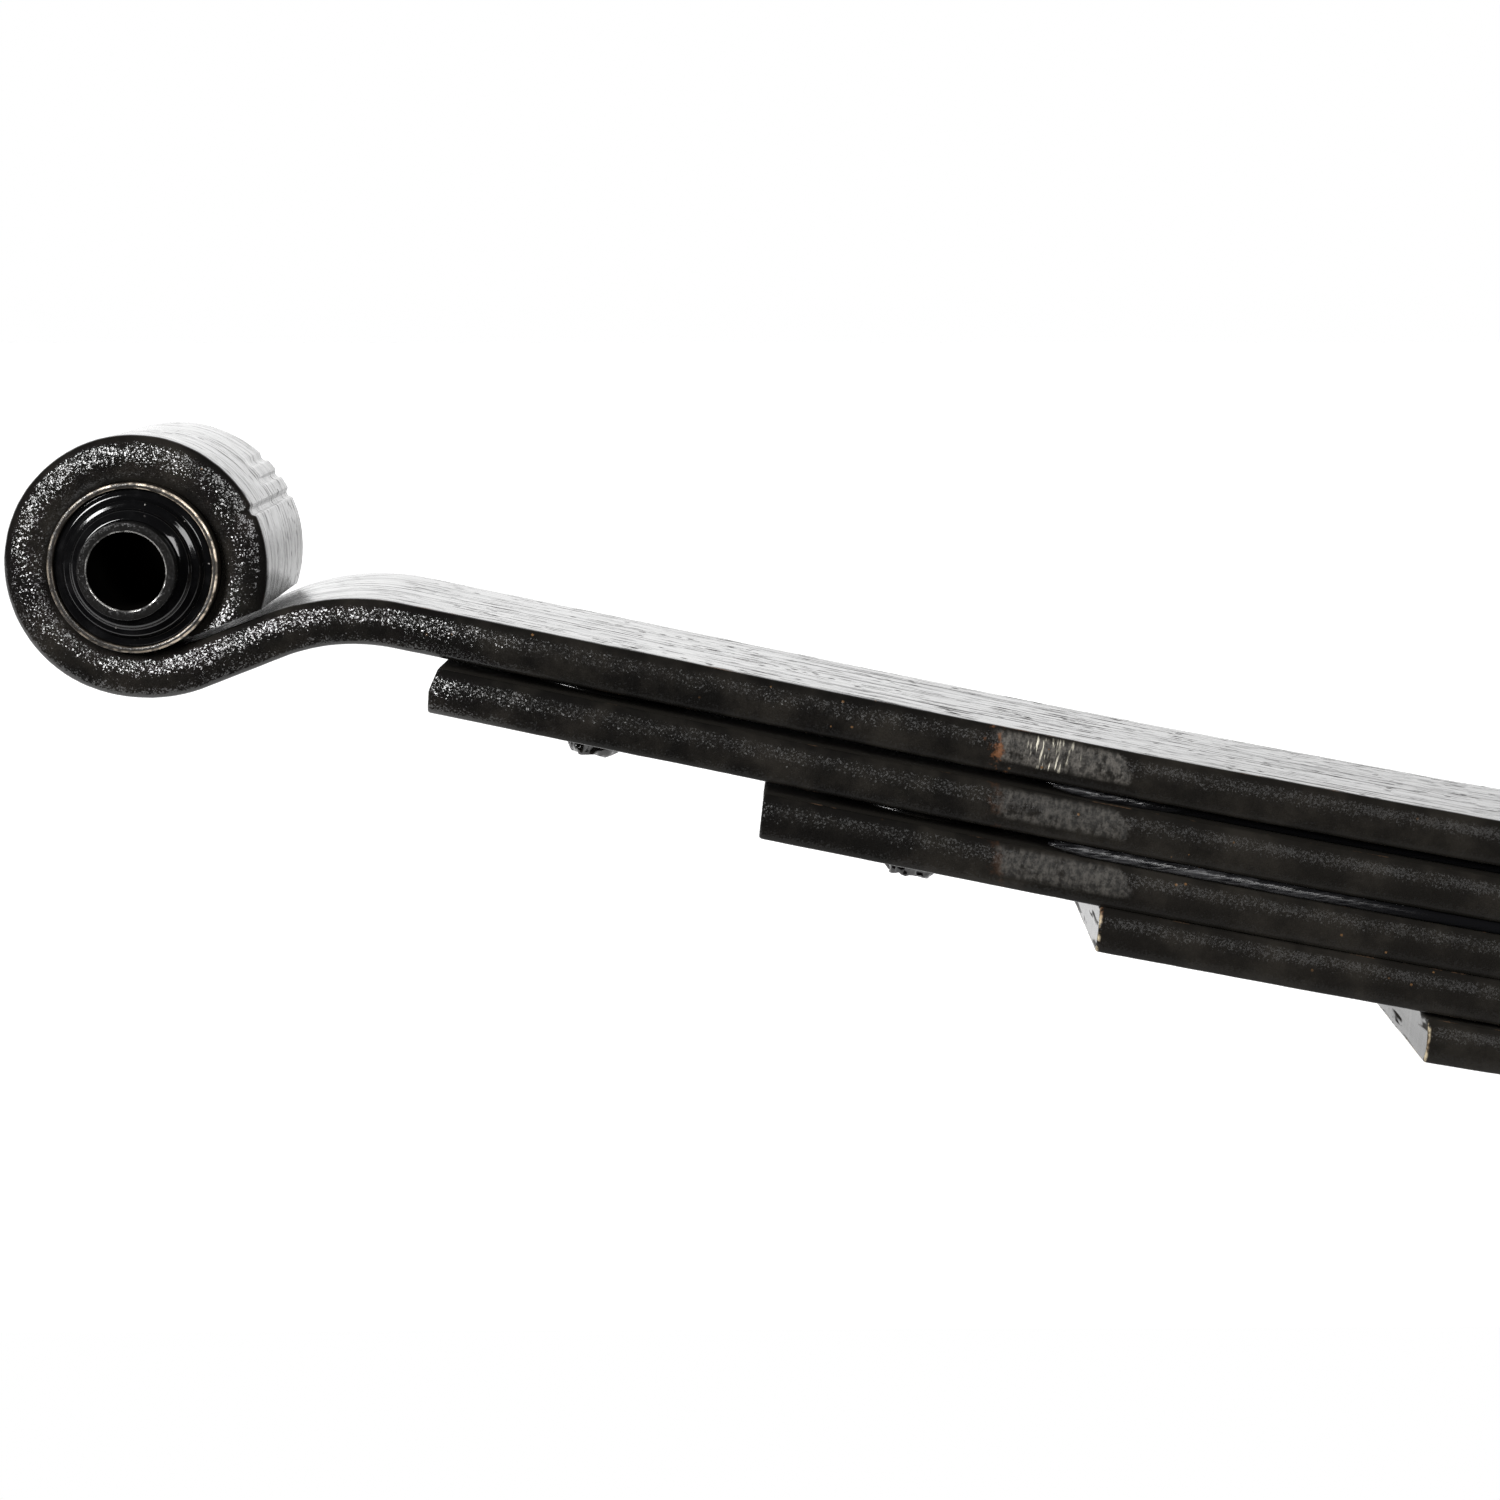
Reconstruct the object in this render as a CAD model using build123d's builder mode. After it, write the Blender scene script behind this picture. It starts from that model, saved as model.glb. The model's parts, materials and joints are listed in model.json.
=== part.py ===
# Semi-elliptic leaf spring: seven graded leaves under a main leaf with a bushed eye at each end.
# Millimetres. X runs along the spring, front eye at -X. Z is up. The origin is on the centre
# bolt's axis, at the underside of the shortest leaf, which is the seat on the axle.

import os
from math import cos, radians, sin

from build123d import *

os.makedirs("parts", exist_ok=True)

# Leaves
leaf_width = 76.2
leaf_thickness = 12.2
edge_radius = 9.15  # the rolled sides of the bar are arcs of this radius
corner_radius = 1.2
leaf_names = ("second", "third", "fourth", "fifth", "sixth", "seventh")
half_lengths = (590.8, 501.3, 409.4, 318.7, 228.5, 138.5)  # along the leaf, centre bolt to tip
clearance = 0.1  # paint film between leaves that touch
liner_gaps = (2.8, 3.1)  # between the three top leaves, which have liners and tip inserts
bottom_leaf_extra_radius = 77.0  # the three shortest leaves are flatter by this much

# Sweep of the top leaf, on its middle surface, from the centre outwards
seat_half_length = 65.0
limb_radius = 1300.0
limb_turn = 10.4
outer_limb_radius = 7400.0
outer_limb_turn = 1.4
crest_radius = 58.0
crest_turn = 32.9
neck_length = 22.2
throat_radius = 35.0
throat_turn = 41.1
eye_centre_x = 660.0

# Eye, its bush and the marks of its forming tool
bush_radius = 22.225
shell_bore_radius = 20.725
shell_length = 82.2
sleeve_radius = 12.7
sleeve_bore_radius = 10.15
sleeve_length = 100.0
rubber_bore_radius = sleeve_radius + 0.03  # the sleeve turns in it when the bush twists
# Steps of the rubber's end face from the shell inwards: radius, height above the shell's end
rubber_steps = (
    (shell_bore_radius, -1.5),
    (18.6, -1.5),
    (17.6, 0.8),
    (15.7, 1.4),
    (15.2, 3.0),
    (rubber_bore_radius, 4.4),
)
rubber_step_fillet = 0.3
eye_end_gap = 1.6  # between the cut end of the eye and the neck below it
eye_wrap = 304.0
tool_marks = ((134.5, 32.0), (144.5, 38.0), (155.0, leaf_width))  # angle round the eye, length
tool_mark_radius = 1.3
tool_mark_from_eye = bush_radius + leaf_thickness + 0.5  # so that each is 0.8 deep

# Tip inserts
insert_from_tip = 43.0
insert_radius = 25.0
peg_radius = 6.5
peg_end_radius = 5.0
peg_below_leaf = 9.0

# Liners
liner_half_length = 424.0
liners = {"liner_main_second": 60.0, "liner_second_third": 74.0}  # widths

# Centre bolt
bolt_radius = 6.35
bolt_hole_radius = 6.75
bolt_head_radius = 11.0
bolt_head_height = 8.0
bolt_past_nut = 5.0
centre_nut_flats = 20.6
centre_nut_height = 11.0

# Rebound clips, riveted to the sixth leaf
clip_at = 140.0  # along the sixth leaf from the end of the flat seat
clip_width = 32.0
clip_thickness = 6.0
clip_side_gap = 1.0
clip_bend_radius = 3.5
clip_over_leaf = 1.5  # between the top leaf and the spacer tube
spacer_radius = 8.0
spacer_bore_radius = 5.3
clip_bolt_radius = 5.0
clip_bolt_past_nut = 3.0
clip_bolt_flats = 16.0
clip_bolt_head_height = 6.5
clip_nut_height = 8.5
rivet_radius = 5.0
rivet_head_radius = 8.5
rivet_dome_radius = 9.0
rivet_dome_height = 5.5
rivet_clearance = 0.05

eye_radius = bush_radius + leaf_thickness / 2
leaf_gaps = (*liner_gaps, clearance, clearance, clearance, clearance)
leaf_count = len(leaf_names) + 1
pack_height = leaf_count * leaf_thickness + sum(leaf_gaps)
main_middle = pack_height - leaf_thickness / 2


def outward(start, steps):
    """Stations (x, z, heading in degrees) at start and after each step.

    A step is (length, turn): a straight run if turn is 0, or else an arc that turns upwards
    by turn degrees.
    """
    x, z, heading = start
    stations = [(x, z, heading)]
    for length, turn in steps:
        if turn:
            radius = length / radians(turn)
            after = heading + turn
            x += radius * (sin(radians(after)) - sin(radians(heading)))
            z -= radius * (cos(radians(after)) - cos(radians(heading)))
            heading = after
        else:
            x += length * cos(radians(heading))
            z += length * sin(radians(heading))
        stations.append((x, z, heading))
    return stations


def facing(station):
    """The plane across the leaf at a station, with local x along Y and local y upwards."""
    x, z, heading = station
    along = (cos(radians(heading)), 0, sin(radians(heading)))
    return Plane(origin=(x, 0, z), x_dir=(0, 1, 0), z_dir=along)


def lying_on(station, height):
    """The plane that lies on the leaf at a station, with its normal height above the middle."""
    x, z, heading = station
    up = (-sin(radians(heading)), 0, cos(radians(heading)))
    along = (cos(radians(heading)), 0, sin(radians(heading)))
    return Plane(origin=Vector(x, 0, z) + Vector(*up) * height, x_dir=along, z_dir=up)


def arc_length(radius, turn):
    return radius * radians(turn)


def limb_steps(drop, extra_radius=0.0):
    """Steps from the centre bolt to the end of the curved limb, drop below the main leaf."""
    inner = limb_radius + drop + extra_radius
    outer = outer_limb_radius + drop
    return [
        (seat_half_length, 0.0),
        (arc_length(inner, limb_turn), limb_turn),
        (arc_length(outer, outer_limb_turn), outer_limb_turn),
    ]


def cut_to(steps, half_length):
    """The same steps ended, or carried on straight, at half_length along the leaf."""
    kept, left = [], half_length
    for length, turn in steps:
        if length >= left:
            return kept + [(left, turn * left / length)]
        kept.append((length, turn))
        left -= length
    return kept + [(left, 0.0)]


def rolled_bar():
    """Section of a leaf: a flat bar with rolled round sides."""
    half = leaf_thickness / 2
    shoulder = leaf_width / 2 - edge_radius + (edge_radius**2 - half**2) ** 0.5
    with BuildLine() as outline:
        Line((-shoulder, -half), (shoulder, -half))
        ThreePointArc((shoulder, -half), (leaf_width / 2, 0), (shoulder, half))
        Line((shoulder, half), (-shoulder, half))
        ThreePointArc((-shoulder, half), (-leaf_width / 2, 0), (-shoulder, -half))
    section = make_face(outline.edges())
    fillet(section.vertices(), corner_radius)


def flat_strip(width, thickness):
    """Section of a liner, for run_out."""

    def section():
        Rectangle(width, thickness)

    return section


def run_out(start, steps, section):
    """Adds the bar or strip along steps, outwards from start, to the part being built."""
    stations = outward(start, steps)
    for station, (length, turn) in zip(stations, steps):
        with BuildSketch(facing(station)) as across:
            section()
        if turn:
            radius = length / radians(turn)
            x, z, heading = station
            centre = (x - radius * sin(radians(heading)), 0, z + radius * cos(radians(heading)))
            direction = (0, -1, 0) if turn > 0 else (0, 1, 0)
            revolve(across.sketch, axis=Axis(centre, direction), revolution_arc=abs(turn))
        else:
            extrude(across.sketch, amount=length)


def drop_of(number):
    """How far leaf number's middle is below the main leaf's."""
    return (number - 1) * leaf_thickness + sum(leaf_gaps[: number - 1])


def leaf_steps(number):
    flatter = bottom_leaf_extra_radius if number > 4 else 0.0
    return cut_to(limb_steps(drop_of(number), flatter), half_lengths[number - 2])


def station_along(steps, start, distance):
    return outward(start, cut_to(steps, distance))[-1]


# Path of the main leaf. The straight between the limb and the crest brings the eye to its place.
to_limb = limb_steps(0.0)
from_crest = [
    (arc_length(crest_radius, crest_turn), -crest_turn),
    (neck_length, 0.0),
    (arc_length(throat_radius, throat_turn), throat_turn),
]
main_start = (0.0, main_middle, 0.0)
limb_end = outward(main_start, to_limb)[-1]
throat_end = outward(limb_end, from_crest)[-1]
eye_shift = eye_radius * sin(radians(throat_end[2]))
shortfall = eye_centre_x - (throat_end[0] - eye_shift)
straight_limb = shortfall / cos(radians(limb_end[2]))
main_steps = to_limb + [(straight_limb, 0.0)] + from_crest
main_stations = outward(main_start, main_steps)
eye_start = main_stations[-1]
eye_centre_z = eye_start[1] + eye_radius * cos(radians(eye_start[2]))
neck = main_stations[-3]

# The eye is cut off along a line beside the neck.
cut_plane = lying_on(neck, leaf_thickness / 2 + eye_end_gap)

with BuildPart() as main_leaf:
    # the eye, which ends at the cut
    run_out(eye_start, [(arc_length(eye_radius, eye_wrap), eye_wrap)], rolled_bar)
    with BuildSketch(cut_plane):
        with Locations((-crest_radius + neck_length, 0)):
            Rectangle(2 * crest_radius, 2 * leaf_width)
    extrude(amount=-2 * leaf_thickness, mode=Mode.SUBTRACT)
    # the rest of the leaf
    run_out(main_start, main_steps, rolled_bar)
    # marks of the forming tool across the top of the eye, from its far side
    for angle, length in tool_marks:
        mark_x = eye_centre_x + tool_mark_from_eye * cos(radians(angle))
        mark_z = eye_centre_z + tool_mark_from_eye * sin(radians(angle))
        with BuildSketch(Plane(origin=(mark_x, leaf_width / 2, mark_z), z_dir=(0, -1, 0))):
            Circle(tool_mark_radius)
        extrude(amount=length, mode=Mode.SUBTRACT)
    mirror(about=Plane.YZ)
    with BuildSketch(Plane.XY.offset(main_middle - leaf_thickness)):
        Circle(bolt_hole_radius)
    extrude(amount=2 * leaf_thickness, mode=Mode.SUBTRACT)
main_leaf.part.label = "main_leaf"
export_step(main_leaf.part, "parts/main_leaf.step")

# The other leaves. The second and third have a hole near each tip for an insert's peg, and the
# sixth has countersunk rivet holes for the clips.
clip_leaf_start = (0.0, main_middle - drop_of(6), 0.0)
clip_station = station_along(leaf_steps(6), clip_leaf_start, seat_half_length + clip_at)
insert_stations = {}
for number, leaf_name in enumerate(leaf_names, start=2):
    start = (0.0, main_middle - drop_of(number), 0.0)
    steps = leaf_steps(number)
    with BuildPart() as leaf:
        run_out(start, steps, rolled_bar)
        if number in (2, 3):
            station = station_along(steps, start, half_lengths[number - 2] - insert_from_tip)
            insert_stations[leaf_name] = station
            with BuildSketch(lying_on(station, -leaf_thickness)):
                Circle(peg_radius + clearance)
            extrude(amount=2 * leaf_thickness, mode=Mode.SUBTRACT)
        if number == 6:
            with Locations(lying_on(clip_station, leaf_thickness / 2)):
                CounterSinkHole(
                    radius=rivet_radius + rivet_clearance,
                    counter_sink_radius=rivet_head_radius + rivet_clearance,
                    counter_sink_angle=90,
                )
        mirror(about=Plane.YZ)
        with BuildSketch(Plane.XY.offset(start[1] - leaf_thickness)):
            Circle(bolt_hole_radius)
        extrude(amount=2 * leaf_thickness, mode=Mode.SUBTRACT)
    leaf.part.label = f"{leaf_name}_leaf"
    export_step(leaf.part, f"parts/{leaf_name}_leaf.step")


def half_mirrored(end):
    """Turns the rear piece being built into the front one."""
    if end == "front":
        mirror(about=Plane.YZ, mode=Mode.REPLACE)


# Polymer liners between the three longest leaves
for liner_number, (liner_name, liner_width) in enumerate(liners.items(), start=1):
    liner_gap = liner_gaps[liner_number - 1]
    liner_thickness = liner_gap - 2 * clearance
    liner_drop = drop_of(liner_number) + (leaf_thickness + liner_gap) / 2
    liner_start = (0.0, main_middle - liner_drop, 0.0)
    liner_steps = cut_to(limb_steps(liner_drop), liner_half_length)
    with BuildPart() as liner:
        run_out(liner_start, liner_steps, flat_strip(liner_width, liner_thickness))
        mirror(about=Plane.YZ)
        with BuildSketch(Plane.XY.offset(liner_start[1] - liner_thickness)):
            Circle(bolt_hole_radius)
        extrude(amount=2 * liner_thickness, mode=Mode.SUBTRACT)
    liner.part.label = liner_name
    export_step(liner.part, f"parts/{liner_name}.step")

# Tip inserts: a disc above the leaf on a peg that goes down through it
for (leaf_name, station), liner_gap in zip(insert_stations.items(), liner_gaps):
    x, z, heading = station
    insert_plane = Plane(
        origin=(x, 0, z),
        x_dir=(cos(radians(heading)), 0, sin(radians(heading))),
        z_dir=(0, -1, 0),
    )
    disc_bottom = leaf_thickness / 2 + clearance / 2
    disc_top = leaf_thickness / 2 + liner_gap - clearance / 2
    peg_bottom = -leaf_thickness / 2 - peg_below_leaf
    for end in ("front", "rear"):
        with BuildPart() as insert:
            with BuildSketch(insert_plane):
                with BuildLine():
                    Polyline(
                        (0, disc_top),
                        (insert_radius, disc_top),
                        (insert_radius, disc_bottom),
                        (peg_radius, disc_bottom),
                        (peg_radius, -leaf_thickness / 2),
                        (peg_end_radius, peg_bottom),
                        (0, peg_bottom),
                        close=True,
                    )
                make_face()
            revolve(axis=Axis(insert_plane.origin, insert_plane.y_dir))
            half_mirrored(end)
        insert.part.label = f"{end}_{leaf_name}_leaf_insert"
        export_step(insert.part, f"parts/{end}_{leaf_name}_leaf_insert.step")

# Bushes: steel shell pressed into the eye, rubber bonded between it and the inner sleeve
eye_plane = Plane(origin=(eye_centre_x, 0, eye_centre_z), x_dir=(1, 0, 0), z_dir=(0, 1, 0))
bush_profile = Plane(origin=(eye_centre_x, 0, eye_centre_z), x_dir=(1, 0, 0), z_dir=(0, 0, 1))
for end in ("front", "rear"):
    with BuildPart() as shell:
        with BuildSketch(eye_plane):
            Circle(bush_radius)
            Circle(shell_bore_radius, mode=Mode.SUBTRACT)
        extrude(amount=shell_length / 2, both=True)
        half_mirrored(end)
    shell.part.label = f"{end}_bush_shell"
    export_step(shell.part, f"parts/{end}_bush_shell.step")

    with BuildPart() as rubber:
        with BuildSketch(bush_profile):
            with BuildLine():
                side = [(radius, shell_length / 2 + height) for radius, height in rubber_steps]
                Polyline(*side, (rubber_bore_radius, 0), (shell_bore_radius, 0), close=True)
            make_face()
            inner_steps = [v for v in vertices() if rubber_bore_radius < v.X < shell_bore_radius]
            fillet(inner_steps, rubber_step_fillet)
        revolve(axis=Axis(bush_profile.origin, (0, 1, 0)))
        mirror(about=Plane.XZ)
        half_mirrored(end)
    rubber.part.label = f"{end}_bush_rubber"
    export_step(rubber.part, f"parts/{end}_bush_rubber.step")

    with BuildPart() as sleeve:
        with BuildSketch(eye_plane):
            Circle(sleeve_radius)
            Circle(sleeve_bore_radius, mode=Mode.SUBTRACT)
        extrude(amount=sleeve_length / 2, both=True)
        half_mirrored(end)
    sleeve.part.label = f"{end}_bush_sleeve"
    export_step(sleeve.part, f"parts/{end}_bush_sleeve.step")

# Centre bolt, whose round head locates the spring on the axle, and its nut
with BuildPart() as centre_bolt:
    with BuildSketch(Plane.XY.offset(-bolt_head_height)):
        Circle(bolt_head_radius)
    extrude(amount=bolt_head_height)
    with BuildSketch(Plane.XY):
        Circle(bolt_radius)
    extrude(amount=pack_height + centre_nut_height + bolt_past_nut)
centre_bolt.part.label = "centre_bolt"
export_step(centre_bolt.part, "parts/centre_bolt.step")

with BuildPart() as centre_nut:
    with BuildSketch(Plane.XY.offset(pack_height)):
        RegularPolygon(centre_nut_flats / 2, 6, major_radius=False)
        Circle(bolt_radius, mode=Mode.SUBTRACT)
    extrude(amount=centre_nut_height)
centre_nut.part.label = "centre_nut"
export_step(centre_nut.part, "parts/centre_nut.step")

# Rebound clips: a strap round the pack, riveted under the sixth leaf, with a bolt through a
# spacer tube over the top leaf. The planes stand on the sixth leaf's underside, square to it.
clip_floor = lying_on(clip_station, -leaf_thickness / 2)
clip_inside = leaf_width / 2 + clip_side_gap
clip_outside = clip_inside + clip_thickness
stack = 6 * leaf_thickness + sum(leaf_gaps[:5])
flatter_by = clip_at**2 / 2 * (
    1 / (limb_radius + drop_of(4))
    - 1 / (limb_radius + drop_of(5) + bottom_leaf_extra_radius)
)
clip_bolt_height = stack + flatter_by + clip_over_leaf + spacer_radius
clip_across = Plane(origin=clip_floor.origin, x_dir=(0, 1, 0), z_dir=clip_floor.x_dir)
bolt_axis_at = clip_floor.origin + clip_floor.z_dir * clip_bolt_height
clip_bolt_plane = Plane(origin=bolt_axis_at, x_dir=clip_floor.x_dir, z_dir=(0, 1, 0))
for end in ("front", "rear"):
    with BuildPart() as strap:
        with BuildSketch(clip_across):
            with Locations((0, (clip_bolt_height - clip_thickness) / 2)):
                Rectangle(2 * clip_outside, clip_bolt_height + clip_thickness)
            fillet(vertices().group_by(Axis.Y)[0], clip_bend_radius + clip_thickness)
        extrude(amount=clip_width / 2, both=True)
        with BuildSketch(clip_across):
            with Locations((0, clip_bolt_height)):
                Rectangle(2 * clip_inside, 2 * clip_bolt_height)
            fillet(vertices().group_by(Axis.Y)[0], clip_bend_radius)
        extrude(amount=clip_width / 2, both=True, mode=Mode.SUBTRACT)
        for side in (-1, 1):
            ear_plane = Plane(
                origin=bolt_axis_at + Vector(0, side * clip_inside, 0),
                x_dir=clip_floor.x_dir,
                z_dir=(0, side, 0),
            )
            with BuildSketch(ear_plane):
                Circle(clip_width / 2)
            extrude(amount=clip_thickness)
            with BuildSketch(ear_plane):
                Circle(clip_bolt_radius + rivet_clearance)
            extrude(amount=clip_thickness, mode=Mode.SUBTRACT)
        with BuildSketch(clip_floor):
            Circle(rivet_radius + rivet_clearance)
        extrude(amount=-clip_thickness, mode=Mode.SUBTRACT)
        half_mirrored(end)
    strap.part.label = f"{end}_clip_strap"
    export_step(strap.part, f"parts/{end}_clip_strap.step")

    with BuildPart() as rivet:
        with BuildSketch(clip_across):
            with BuildLine():
                Polyline(
                    (0, -clip_thickness - rivet_dome_height),
                    (0, leaf_thickness),
                    (rivet_head_radius, leaf_thickness),
                    (rivet_radius, leaf_thickness - rivet_head_radius + rivet_radius),
                    (rivet_radius, -clip_thickness),
                    (rivet_dome_radius, -clip_thickness),
                )
                RadiusArc(
                    (rivet_dome_radius, -clip_thickness),
                    (0, -clip_thickness - rivet_dome_height),
                    (rivet_dome_radius**2 + rivet_dome_height**2) / (2 * rivet_dome_height),
                )
            make_face()
        revolve(axis=Axis(clip_floor.origin, clip_floor.z_dir))
        half_mirrored(end)
    rivet.part.label = f"{end}_clip_rivet"
    export_step(rivet.part, f"parts/{end}_clip_rivet.step")

    with BuildPart() as spacer:
        with BuildSketch(clip_bolt_plane):
            Circle(spacer_radius)
            Circle(spacer_bore_radius, mode=Mode.SUBTRACT)
        extrude(amount=clip_inside - rivet_clearance, both=True)
        half_mirrored(end)
    spacer.part.label = f"{end}_clip_spacer"
    export_step(spacer.part, f"parts/{end}_clip_spacer.step")

    with BuildPart() as clip_bolt:
        with BuildSketch(clip_bolt_plane.offset(-clip_outside - clip_bolt_head_height)):
            RegularPolygon(clip_bolt_flats / 2, 6, major_radius=False)
        extrude(amount=clip_bolt_head_height)
        with BuildSketch(clip_bolt_plane.offset(-clip_outside)):
            Circle(clip_bolt_radius)
        extrude(amount=2 * clip_outside + clip_nut_height + clip_bolt_past_nut)
        half_mirrored(end)
    clip_bolt.part.label = f"{end}_clip_bolt"
    export_step(clip_bolt.part, f"parts/{end}_clip_bolt.step")

    with BuildPart() as clip_nut:
        with BuildSketch(clip_bolt_plane.offset(clip_outside)):
            RegularPolygon(clip_bolt_flats / 2, 6, major_radius=False)
            Circle(clip_bolt_radius, mode=Mode.SUBTRACT)
        extrude(amount=clip_nut_height)
        half_mirrored(end)
    clip_nut.part.label = f"{end}_clip_nut"
    export_step(clip_nut.part, f"parts/{end}_clip_nut.step")

print(f"eye centre x {eye_centre_x:.2f} z {eye_centre_z:.3f}")
print(f"pack height {pack_height:.2f} straight limb {straight_limb:.2f}")
for number in range(2, 8):
    tip = outward((0.0, main_middle - drop_of(number), 0.0), leaf_steps(number))[-1]
    print(f"leaf {number} tip x {tip[0]:.1f} z {tip[1]:.1f} slope {tip[2]:.2f}")
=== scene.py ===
"""Leaf spring beside its front eye: leaves, bushes, inserts, liners, clips and centre bolt."""
import json
from math import acos, asin, ceil, cos, degrees, exp, hypot, pi, radians, sin

import bmesh
import bpy
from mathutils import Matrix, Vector, noise


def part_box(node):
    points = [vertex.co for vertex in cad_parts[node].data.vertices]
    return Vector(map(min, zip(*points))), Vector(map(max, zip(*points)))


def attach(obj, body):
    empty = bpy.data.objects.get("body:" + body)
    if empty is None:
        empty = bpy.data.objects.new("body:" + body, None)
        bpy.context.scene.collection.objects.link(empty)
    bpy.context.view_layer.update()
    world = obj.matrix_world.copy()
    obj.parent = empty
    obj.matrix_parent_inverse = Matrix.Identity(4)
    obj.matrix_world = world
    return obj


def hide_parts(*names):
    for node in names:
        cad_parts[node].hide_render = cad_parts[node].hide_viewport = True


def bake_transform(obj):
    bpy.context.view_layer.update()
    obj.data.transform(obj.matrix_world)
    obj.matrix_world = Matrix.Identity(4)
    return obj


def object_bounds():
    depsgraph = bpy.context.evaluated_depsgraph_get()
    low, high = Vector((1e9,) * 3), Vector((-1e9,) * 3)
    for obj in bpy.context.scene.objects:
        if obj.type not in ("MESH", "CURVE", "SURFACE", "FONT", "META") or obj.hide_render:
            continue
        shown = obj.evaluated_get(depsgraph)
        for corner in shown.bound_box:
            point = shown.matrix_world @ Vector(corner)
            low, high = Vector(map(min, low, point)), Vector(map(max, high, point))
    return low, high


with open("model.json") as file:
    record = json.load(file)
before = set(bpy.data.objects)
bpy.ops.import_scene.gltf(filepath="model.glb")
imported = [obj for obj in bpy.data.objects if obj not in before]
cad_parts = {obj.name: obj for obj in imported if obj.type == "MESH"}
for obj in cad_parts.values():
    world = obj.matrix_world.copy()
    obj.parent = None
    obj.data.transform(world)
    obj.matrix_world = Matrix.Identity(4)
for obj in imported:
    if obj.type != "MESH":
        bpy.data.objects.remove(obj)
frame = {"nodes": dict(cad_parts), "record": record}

cad_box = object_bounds()
MM = 0.001

# ---- sizes, in millimetres
mounts = {m["name"]: m for m in frame["record"]["mounts"]}


def low(node, axis):
    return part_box(node)[0][axis] / MM


def high(node, axis):
    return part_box(node)[1][axis] / MM


def extent(node, axis):
    return high(node, axis) - low(node, axis)


X, Y, Z = 0, 1, 2
eye_x, eye_z = (mounts["rear_eye_bore"]["pos_m"][axis] / MM for axis in (X, Z))
sleeve_bore = mounts["rear_eye_bore"]["dims"]["r_mm"]
sleeve_length = extent("rear_bush_sleeve", Y)
sleeve_radius = extent("rear_bush_sleeve", X) / 2
shell_length = extent("rear_bush_shell", Y)
bush_radius = extent("rear_bush_shell", X) / 2
shell_bore = extent("rear_bush_rubber", X) / 2
half_width = extent("seventh_leaf", Y) / 2
pack_height = low("centre_nut", Z)

# leaves: section and sweep, as in the CAD model
thick = 12.2
edge_radius = 9.15
corner_radius = 1.3
seat_half = 65.0
limb_radius, limb_turn = 1300.0, 10.4
outer_radius, outer_turn = 7400.0, 1.4
crest_radius, crest_turn = 58.0, 32.9
neck_length = 22.2
throat_radius, throat_turn = 35.0, 41.1
eye_end_gap = 1.6
eye_wrap = 304.0
half_lengths = (590.8, 501.3, 409.4, 318.7, 228.5, 138.5)
gaps = (2.8, 3.1, 0.1, 0.1, 0.1, 0.1)
flat_leaf_extra_radius = 77.0
leaf_names = ("main", "second", "third", "fourth", "fifth", "sixth", "seventh")
eye_mean = bush_radius + thick / 2
main_middle = pack_height - thick / 2

# smaller pieces
rubber_clearance = 0.04  # from the sleeve, so that it turns without touching
rubber_steps = (  # radius, and height beyond the shell's end
    (shell_bore, -1.5),
    (18.6, -1.5),
    (17.6, 0.8),
    (15.7, 1.4),
    (15.2, 3.0),
    (sleeve_radius + rubber_clearance, 4.4),
)
insert_from_tip = 43.0
insert_radius = 25.0
peg_radius, peg_length = 6.5, 7.3
peg_lean = 2.2  # the peg's end leans towards the middle of the spring
liner_half = 424.0
liner_tear = 12.0  # the torn stretch at its end
liner_widths = {"liner_main_second": 60.0, "liner_second_third": 74.0}
liner_spread = 0.24  # how far the upper liner has crept out near its torn end
bolt_head_radius, bolt_head_height = 11.0, 8.0
bolt_radius = 6.35
thread_pitch = 1.27
clip_bolt_radius, clip_thread_pitch = 5.0, 1.5
clip_flats, clip_from_seat = 16.0, 140.0
nut_chamfer = radians(30)
bush_points, bolt_points, clip_points = 144, 96, 72  # round each turned piece
eye_rings = 300

ends = (("front", -1), ("rear", 1))


# ---- the leaves' path
def arc(radius, turn):
    return radius * radians(abs(turn)), turn


def drop_of(number):
    return (number - 1) * thick + sum(gaps[: number - 1])


def limb_steps(drop, extra=0.0):
    return [
        (seat_half, 0.0),
        arc(limb_radius + drop + extra, limb_turn),
        arc(outer_radius + drop, outer_turn),
    ]


def cut_to(steps, half_length):
    kept, left = [], half_length
    for length, turn in steps:
        if length >= left:
            return kept + [(left, turn * left / length)]
        kept.append((length, turn))
        left -= length
    return kept + [(left, 0.0)]


def advance(station, length, turn):
    """The station (x, z, heading) a step further on: straight, or round an arc that turns up."""
    x, z, heading = station
    if not turn:
        return x + length * cos(radians(heading)), z + length * sin(radians(heading)), heading
    radius, after = length / radians(turn), heading + turn
    return (
        x + radius * (sin(radians(after)) - sin(radians(heading))),
        z - radius * (cos(radians(after)) - cos(radians(heading))),
        after,
    )


def stations_of(start, steps, spacing):
    """(x, z, heading, distance) along the path, more closely spaced where it bends sharply."""
    found, station, gone = [(*start, 0.0)], start, 0.0
    for length, turn in steps:
        close = turn and length / abs(radians(turn)) < 100
        count = max(1, round(length / (spacing / 3 if close else spacing)))
        for k in range(1, count + 1):
            at = advance(station, length * k / count, turn * k / count)
            found.append((*at, gone + length * k / count))
        station, gone = advance(station, length, turn), gone + length
    return found


def station_at(steps, start, distance):
    station = start
    for length, turn in cut_to(steps, distance):
        station = advance(station, length, turn)
    return station


def leaf_start(number):
    return (0.0, main_middle - drop_of(number), 0.0)


def leaf_steps(number):
    extra = flat_leaf_extra_radius if number > 4 else 0.0
    return cut_to(limb_steps(drop_of(number), extra), half_lengths[number - 2])


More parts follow.
